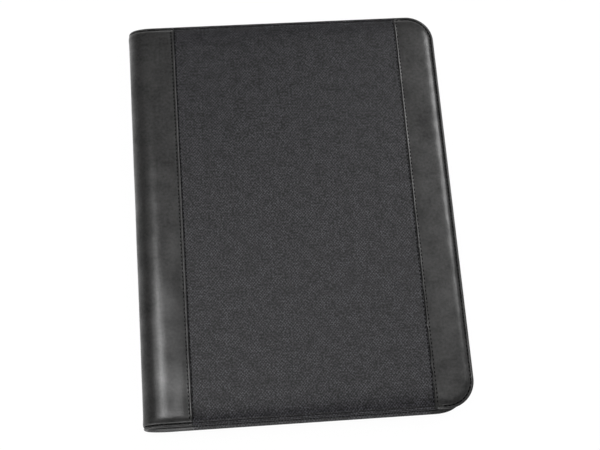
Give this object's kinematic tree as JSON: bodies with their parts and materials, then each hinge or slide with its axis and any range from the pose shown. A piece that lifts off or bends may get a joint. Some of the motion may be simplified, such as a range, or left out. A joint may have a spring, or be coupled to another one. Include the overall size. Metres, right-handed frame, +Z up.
{
  "type": "zippered conference folder",
  "caption": "Black leather and woven-fabric document folder that closes with a zip on three sides and opens flat at a soft round spine, with a writing pad and pockets inside.",
  "frame": {"origin": "middle of the closed folder's outline, on the surface that its back cover lies on", "axes": "+X from the spine to the fore edge, +Y from the bottom edge to the top edge, +Z up through the thickness, from the back cover to the front cover"},
  "size_m": [0.26, 0.34, 0.027],
  "materials": {
    "leather": "semi-gloss black, fine grain",
    "woven_panel": "matt charcoal microfibre with a fine pin-dot weave",
    "lining": "matt dark twill",
    "foam": "open-cell padding",
    "greyboard": "uncoated",
    "zip_tape": "matt woven tape",
    "zip_teeth": "moulded, satin",
    "zip_metal": "nickel plated, satin",
    "paper": "uncoated writing paper",
    "binding": "embossed binding strip",
    "elastic": "ribbed elastic",
    "clear_film": "clear, glossy"
  },
  "bodies": {
    "back": {"back_spine_side_panel": "leather", "back_centre_panel": "woven_panel", "back_fore_edge_panel": "leather", "back_foam": "foam", "back_board": "greyboard", "back_lining": "lining", "back_zip_tape": "zip_tape", "back_zip_teeth": "zip_teeth", "back_zip_tail_top": "zip_tape", "back_zip_tail_bottom": "zip_tape", "zip_end_stop": "zip_metal", "pad_pocket": "lining", "pad_backing_board": "greyboard", "pad_sheets": "paper", "pad_header": "binding", "pen_loop": "elastic"},
    "spine": {"spine_wrap": "leather", "spine_foam": "foam", "spine_lining": "lining", "spine_end_patch_top": "leather", "spine_end_patch_bottom": "leather"},
    "front": {"front_spine_side_panel": "leather", "front_centre_panel": "woven_panel", "front_fore_edge_panel": "leather", "front_foam": "foam", "front_board": "greyboard", "front_lining": "lining", "front_zip_tape": "zip_tape", "front_zip_teeth": "zip_teeth", "front_zip_tail_top": "zip_tape", "front_zip_tail_bottom": "zip_tape", "document_pocket": "lining", "card_pocket_1": "lining", "card_pocket_2": "lining", "card_pocket_3": "lining", "id_window_frame": "leather", "id_window_film": "clear_film"},
    "slider": {"zip_slider": "zip_metal"},
    "pull": {"zip_pull": "zip_metal"}
  },
  "joints": [
    {"name": "cover_fold", "type": "hinge", "parent": "spine", "child": "front", "pos_m": [-0.1271, 0, 0.0241], "axis": [0, -1, 0], "range_deg": [0, 90], "deforming": ["front_zip_tail_top", "front_zip_tail_bottom"]},
    {"name": "spine_fold", "type": "hinge", "parent": "back", "child": "spine", "pos_m": [-0.1271, 0, 0.0029], "axis": [0, -1, 0], "range_deg": [0, 90], "deforming": ["back_zip_tail_top", "back_zip_tail_bottom"]},
    {"name": "slider_travel", "type": "slide", "parent": "back", "child": "slider", "axis": [1, 0, 0], "range_m": [0, 0.19], "deforming": ["front_zip_teeth", "back_zip_teeth"]},
    {"name": "pull_swing", "type": "hinge", "parent": "slider", "child": "pull", "pos_m": [-0.0996, 0.1675, 0.0135], "axis": [0, 0, 1], "range_deg": [0, 170]}
  ],
  "couplings": [
    {"joint": "spine_fold", "follows": "cover_fold", "ratio": 1}
  ]
}
